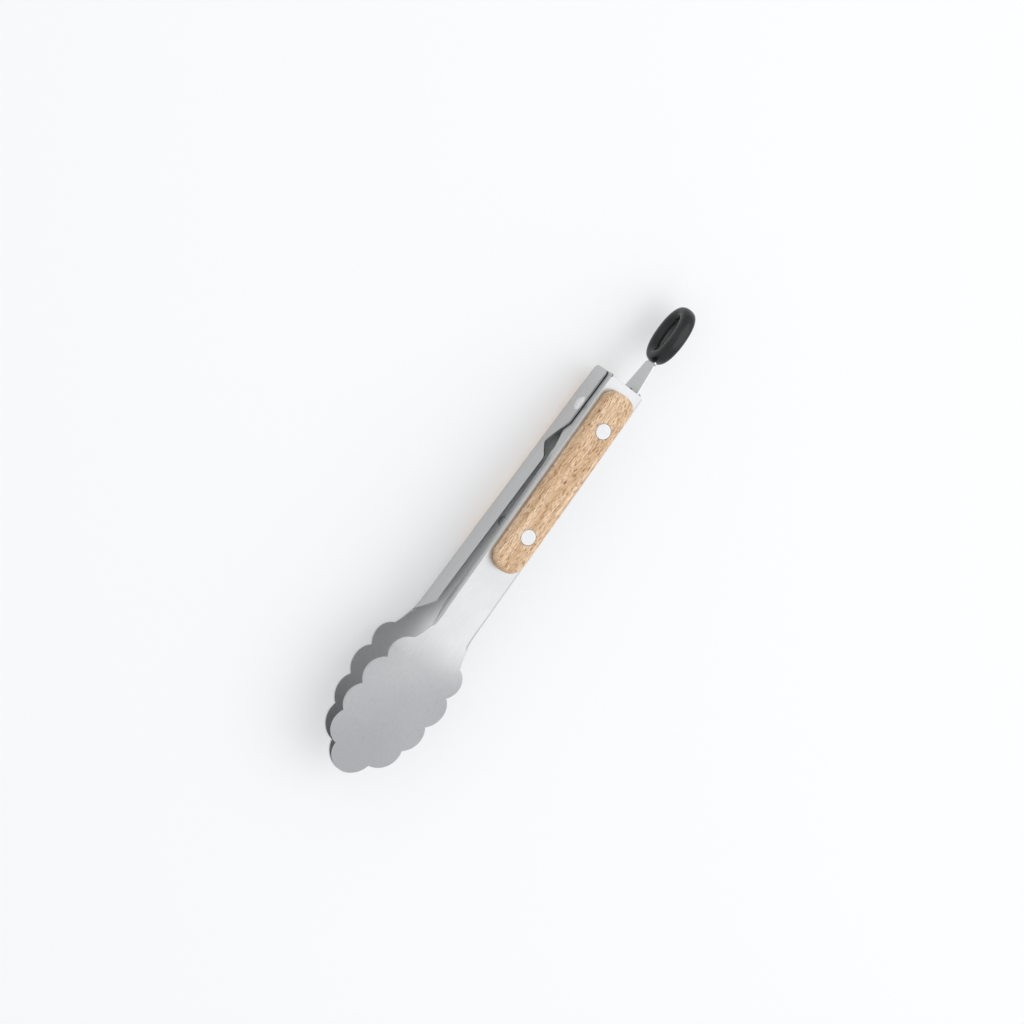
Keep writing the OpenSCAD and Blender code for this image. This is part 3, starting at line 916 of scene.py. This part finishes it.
def coil_point(angle):
    """A helix round the pin: y grows evenly with the angle."""
    share = (angle - coil_from) / coil_sweep
    return np.stack([coil_radius * np.cos(angle), coil_y[0] + (coil_y[1] - coil_y[0]) * share,
                     coil_radius * np.sin(angle)], -1)


def leg_path(side):
    """A stretch of the coil, then a straight run out to the web, its last bit eased inwards."""
    start = coil_from if side < 0 else coil_from + coil_sweep
    arc = coil_point(start + side * np.linspace(-leg_start, 0, 16))
    run = np.concatenate([np.linspace(0.5 * MM, leg_straight, 24),
                          np.linspace(leg_straight + 0.6 * MM, leg_end, 8)])
    lead = np.array([-np.cos(leg_slope), 0, side * np.sin(leg_slope)])
    eased = np.clip(run - leg_straight, 0, None) ** 2 * (-side * leg_ease)
    return np.vstack([arc, arc[-1] + run[:, None] * lead + eased[:, None] * [0, 0, 1]])


turns = np.arange(coil_from, coil_from + coil_sweep, np.radians(10))
add_piece("spring_coil", [on_middle(tube(coil_point(turns), wire))], spring_steel, "spring",
          ["torsion_spring"])
add_piece("spring_leg_lower", [on_middle(tube(leg_path(-1), wire))], spring_steel, "lower_half")
add_piece("spring_leg_upper", [on_middle(tube(leg_path(1), wire))], spring_steel, "upper_half")

# %% [markdown]
# ## The lock tab
# The tab is a flat blanked plate beside one ear, with a long slot that rides on the pin. Pulled
# out, its wide shoulders stand between the ends of the webs. Its face is a band of rows between
# two closed outlines, the slot and the outer edge, and both edges get the same rounded rim.

# %% Lock tab
tab_y, tab_thick = -8.3 * MM, 1 * MM
slot_radius, slot_length = 2.3 * MM, 18.3 * MM
tab_corners = np.array([[-6, -8.4], [19.3, -8.4], [35.9, -5.15], [36.2, -4], [41.2, -4],
                        [41.2, 4], [36.2, 4], [35.9, 5.15], [19.3, 8.4], [-6, 8.4]]) * MM
tab_rounding = np.array([2, 0.8, 0.2, 0.2, 0.4, 0.4, 0.2, 0.2, 0.8, 2]) * MM
loop_shift = 5


def rounded_loop(corners, radii, steps=9):
    """A closed outline whose corners are blended: each is a curve from side to side of it."""
    before, after = np.roll(corners, 1, 0) - corners, np.roll(corners, -1, 0) - corners
    before /= np.linalg.norm(before, axis=1, keepdims=True)
    after /= np.linalg.norm(after, axis=1, keepdims=True)
    t = np.linspace(0, 1, steps)[:, None, None]
    start, end = corners + before * radii[:, None], corners + after * radii[:, None]
    curve = (1 - t) ** 2 * start + 2 * t * (1 - t) * corners + t ** 2 * end
    return curve.transpose(1, 0, 2).reshape(-1, 2)


def spaced(loop, count):
    """The same closed outline with evenly spaced points."""
    loop = np.vstack([loop, loop[:1]])
    gone = np.concatenate([[0], np.cumsum(np.linalg.norm(np.diff(loop, axis=0), axis=1))])
    want = np.linspace(0, gone[-1], count + 1)
    return np.stack([np.interp(want, gone, loop[:, k]) for k in (0, 1)], 1)


def slot_loop(count):
    """Two half circles joined by straights, begun on the same side as the outer outline."""
    near = np.linspace(np.pi, 2 * np.pi, 24)[:12]
    far = np.linspace(-np.pi / 2, np.pi / 2, 24)
    left = slot_radius * np.stack([np.cos(near), np.sin(near)], 1)
    right = slot_radius * np.stack([np.cos(far), np.sin(far)], 1) + [slot_length, 0]
    last = (left * [1, -1])[::-1]
    return spaced(np.vstack([left, [[0, -slot_radius]], right, [[0, slot_radius]], last]), count)


def tab_grids(count=360):
    """Face and back between the slot and the outer edge, with a rounded rim on each."""
    outer = spaced(np.roll(rounded_loop(tab_corners, tab_rounding), loop_shift, 0), count)
    inner = slot_loop(count)
    share = np.linspace(0, 1, 7)[:, None, None]
    flat = inner + (outer - inner) * share
    face = np.stack([flat[..., 0], np.full(flat.shape[:2], tab_y), flat[..., 1]], 2)
    back = face + [0, tab_thick, 0]
    strips = []
    for row, step in ((0, 1), (-1, -2)):
        edge, next_in = face[row, :-1], face[step, :-1]
        out = outward_of(edge, back[row, :-1] - edge, next_in)
        low, high, strip = rim_strip(edge, back[row, :-1], out)
        face[row], back[row] = np.vstack([low, low[:1]]), np.vstack([high, high[:1]])
        strips.append(np.concatenate([strip, strip[:, :1]], 1))
    return [face, back, *strips]


add_piece("lock_tab_plate", [on_middle(g) for g in tab_grids()], tab_steel, "lock",
          ["lock_tab"])

# %% [markdown]
# ## The pull ring
# The ring is moulded over the end of the tab. It is an oval loop with a full rim: a section
# carried round an oval path, square to it in the ring's own plane. Round the hole the section is
# a plain curve, and on the outside it is squarer.

# %% Pull ring
ring_middle = np.array([52.15, -7.8, 0]) * MM
rim_wide, rim_thick = 6.7 * MM, 7.8 * MM
path_long, path_wide = 12.3 * MM, 7.85 * MM
path_power, hole_power, outer_power = 2.15, 1.9, 2.5


def rounded_power(angle, power):
    """Cosine and sine bent so that their powers add up to 1: 2 is a circle, more is squarer."""
    c, s = np.cos(angle), np.sin(angle)
    return np.sign(c) * np.abs(c) ** (2 / power), np.sign(s) * np.abs(s) ** (2 / power)


def ring_grid(steps=160, sides=48):
    """Section offset along the path's in-plane normal and across the ring."""
    turn = np.linspace(0, 2 * np.pi, steps + 1)
    px, pz = rounded_power(turn, path_power)
    px, pz = path_long * px, path_wide * pz
    nx, nz = px / path_long ** 2, pz / path_wide ** 2
    size = np.hypot(nx, nz)
    around = np.linspace(0, 2 * np.pi, sides + 1)
    out, side = rounded_power(around, np.where(np.cos(around) < 0, hole_power, outer_power))
    out, side = out * rim_wide / 2, side * rim_thick / 2
    return ring_middle + np.stack([px[:, None] + (nx / size)[:, None] * out,
                                   0 * px[:, None] + side,
                                   pz[:, None] + (nz / size)[:, None] * out], 2)


add_piece("pull_ring", [on_middle(ring_grid())], ring_rubber, "lock", ["ring_grip"])

# %% [markdown]
# ## Stage, light and camera
# Steel shows what is around it, so the light matters more than the metal. The tongs lie on white
# paper, which glows a little itself, so that it stays white and the shadows on it stay soft.

# %% Floor
floor_half, floor_drop = 6, 0.2 * MM
paper_tone, paper_glow = (0.64, 0.64, 0.64, 1), 0.32

sides = np.linspace(-floor_half, floor_half, 2)
floor_grid = np.stack([*np.meshgrid(sides, sides), np.full((2, 2), -floor_drop)], 2)
floor = bpy.data.objects.new("floor", make_mesh("floor", [floor_grid]))
bpy.context.scene.collection.objects.link(floor)
floor.data.materials.append(new_finish("floor_paper", Base_Color=paper_tone, Roughness=0.9,
                                       Emission_Color=(1, 1, 1, 1),
                                       Emission_Strength=paper_glow)[2])
print("floor", 2 * floor_half, "m wide")

# %% [markdown]
# One wide soft box overhead is what the webs mirror. The room beyond it is a little darker, so
# the head, which is turned away from the box, goes grey towards its tip. A second, much weaker
# one on the camera's side fills the wood and the rubber without showing in the webs.

# %% Room and soft boxes
room_tone, room_glow = (0.94, 0.97, 1.0, 1), 0.8
aim = Vector((-0.0611, 0.0046, 0.018))

world = bpy.data.worlds.new("studio")
world.use_nodes = True
world.node_tree.nodes["Background"].inputs["Color"].default_value = room_tone
world.node_tree.nodes["Background"].inputs["Strength"].default_value = room_glow
bpy.context.scene.world = world
bpy.context.scene.view_settings.view_transform = "Standard"


def direction(azimuth, elevation):
    """Unit vector towards the viewer: azimuth 0 is on the -Y side, elevation above level."""
    a, e = np.radians(azimuth), np.radians(elevation)
    return Vector((np.sin(a) * np.cos(e), -np.cos(a) * np.cos(e), np.sin(e)))


def soft_box(name, azimuth, elevation, distance, wide, deep, glow):
    """A rectangular light whose brightness is glow, turned to the middle of the tongs."""
    light = bpy.data.lights.new(name, "AREA")
    light.shape, light.size, light.size_y = "RECTANGLE", wide, deep
    light.energy = glow * np.pi * wide * deep
    lamp = bpy.data.objects.new(name, light)
    way = direction(azimuth, elevation)
    lamp.location = aim + way * distance
    lamp.rotation_euler = way.to_track_quat("Z", "Y").to_euler()
    bpy.context.scene.collection.objects.link(lamp)
    print(name, round(light.energy, 1), "W")


soft_box("overhead_box", azimuth=40, elevation=58, distance=1.5, wide=1.6, deep=1.7, glow=0.95)
soft_box("front_box", azimuth=160, elevation=42, distance=1.6, wide=1.0, deep=0.8, glow=0.25)

# %% [markdown]
# The camera stands far off with a long lens, so that near and far parts of the tongs keep nearly
# the same scale. It looks steeply down at the middle of the tongs and is rolled about its own
# axis, which lays them from corner to corner.

# %% Camera
view_azimuth, view_elevation, view_roll, view_distance = 178.87, 64.31, 127.78, 2.5037
lens_length, sensor_wide = 183.83, 36
nearest, farthest = 0.05, 50

camera_data = bpy.data.cameras.new("camera")
camera_data.lens, camera_data.sensor_width = lens_length, sensor_wide
camera_data.clip_start, camera_data.clip_end = nearest, farthest
camera = bpy.data.objects.new("camera", camera_data)
back = direction(view_azimuth, view_elevation)
level = Vector((0, 0, 1)).cross(back).normalized()
rise = back.cross(level)
roll = np.radians(view_roll)
right = level * np.cos(roll) + rise * np.sin(roll)
turned = Matrix((right, back.cross(right), back)).transposed()
camera.location = aim + back * view_distance
camera.rotation_euler = turned.to_euler()
bpy.context.scene.collection.objects.link(camera)
bpy.context.scene.camera = camera
print("camera at", [round(c, 3) for c in camera.location])
